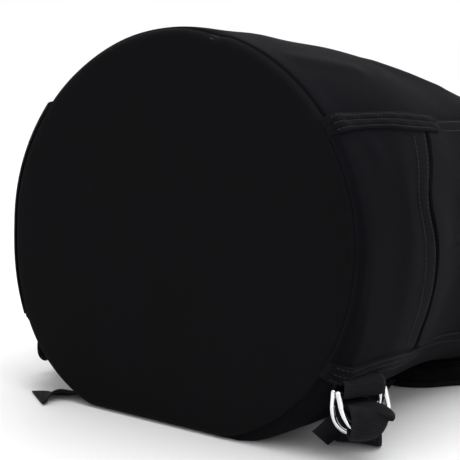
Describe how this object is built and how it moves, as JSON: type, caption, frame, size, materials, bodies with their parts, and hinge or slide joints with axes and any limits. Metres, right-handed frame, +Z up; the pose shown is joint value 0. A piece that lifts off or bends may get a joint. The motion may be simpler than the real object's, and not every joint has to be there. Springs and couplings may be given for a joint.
{
  "type": "rope storage bag",
  "caption": "Round-based canvas rope bag lying on its back, with side pockets, shoulder straps on D-ring adjusters, a drawcord mouth and a haul loop.",
  "frame": {"origin": "centre of the bounding box in plan, on the floor the bag lies on", "axes": "+Y from the round base along the bag to its mouth and haul loop, +Z up, +X to the right as seen from the base"},
  "size_m": [0.3651, 0.5999, 0.298],
  "materials": {
    "base_canvas": "matt tight weave",
    "canvas": "matt heavy canvas",
    "lining": "coated cloth",
    "pad_cloth": "woven pad cloth",
    "webbing": "woven polyester",
    "cord": "braided",
    "chrome": "polished",
    "nickel": "nickel plated",
    "spring_wire": "wire",
    "lock_plastic": "satin",
    "plunger_plastic": "satin",
    "stiffener": "sheet",
    "foam": "closed-cell foam"
  },
  "bodies": {
    "bag": {"base_panel": "base_canvas", "base_stiffener": "stiffener", "base_lining": "lining", "base_seam_binding": "webbing", "front_panel": "canvas", "back_panel": "canvas", "right_side_panel": "canvas", "left_side_panel": "canvas", "right_pocket": "canvas", "left_pocket": "canvas", "right_pocket_hem_tape": "webbing", "left_pocket_hem_tape": "webbing", "right_upper_seam_tape": "webbing", "right_lower_seam_tape": "webbing", "left_upper_seam_tape": "webbing", "left_lower_seam_tape": "webbing", "right_ring_loop": "webbing", "left_ring_loop": "webbing", "right_strap_webbing": "webbing", "left_strap_webbing": "webbing", "right_strap_tail": "webbing", "left_strap_tail": "webbing", "right_pad_face": "pad_cloth", "left_pad_face": "pad_cloth", "right_pad_foam": "foam", "left_pad_foam": "foam", "right_pad_back": "pad_cloth", "left_pad_back": "pad_cloth", "strap_yoke_patch": "canvas", "haul_loop_tab": "webbing", "mouth_hem": "canvas", "cord_eyelets": "nickel", "drawcord": "cord", "cord_end_bead": "lock_plastic", "tie_in_loop": "webbing"},
    "right_inner_ring": {"right_inner_d_ring": "chrome"},
    "left_inner_ring": {"left_inner_d_ring": "chrome"},
    "right_outer_ring": {"right_outer_d_ring": "chrome", "right_strap_turn": "webbing"},
    "left_outer_ring": {"left_outer_d_ring": "chrome", "left_strap_turn": "webbing"},
    "haul_handle": {"haul_loop": "webbing"},
    "cord_lock": {"cord_lock_barrel": "lock_plastic", "cord_lock_spring": "spring_wire"},
    "cord_lock_button": {"cord_lock_plunger": "plunger_plastic"}
  },
  "joints": [
    {"name": "right_inner_ring_swing", "type": "hinge", "parent": "bag", "child": "right_inner_ring", "pos_m": [0.14418, -0.2734, 0.05], "axis": [-0.2578, -0.9623, 0.0872], "range_deg": [-5, 5]},
    {"name": "right_outer_ring_swing", "type": "hinge", "parent": "bag", "child": "right_outer_ring", "pos_m": [0.14862, -0.2746, 0.05], "axis": [-0.2578, -0.9623, 0.0872], "range_deg": [-3, 12]},
    {"name": "left_inner_ring_swing", "type": "hinge", "parent": "bag", "child": "left_inner_ring", "pos_m": [-0.1627, -0.23388, 0.045], "axis": [-0.0521, 0.9948, -0.0872], "range_deg": [-5, 5]},
    {"name": "left_outer_ring_swing", "type": "hinge", "parent": "bag", "child": "left_outer_ring", "pos_m": [-0.1673, -0.23412, 0.045], "axis": [-0.0521, 0.9948, -0.0872], "range_deg": [-3, 12]},
    {"name": "haul_loop_flip", "type": "hinge", "parent": "bag", "child": "haul_handle", "pos_m": [0, 0.208, 0.0071], "axis": [1, 0, 0], "range_deg": [0, 75]},
    {"name": "cord_lock_slide", "type": "slide", "parent": "bag", "child": "cord_lock", "axis": [0, -0.9898, 0.1422], "range_m": [0, 0.012]},
    {"name": "cord_lock_press", "type": "slide", "parent": "cord_lock", "child": "cord_lock_button", "axis": [-1, 0, 0], "range_m": [0, 0.0035], "stiffness_N_per_m": 400, "springref_m": -0.002, "deforming": ["cord_lock_spring"]}
  ]
}
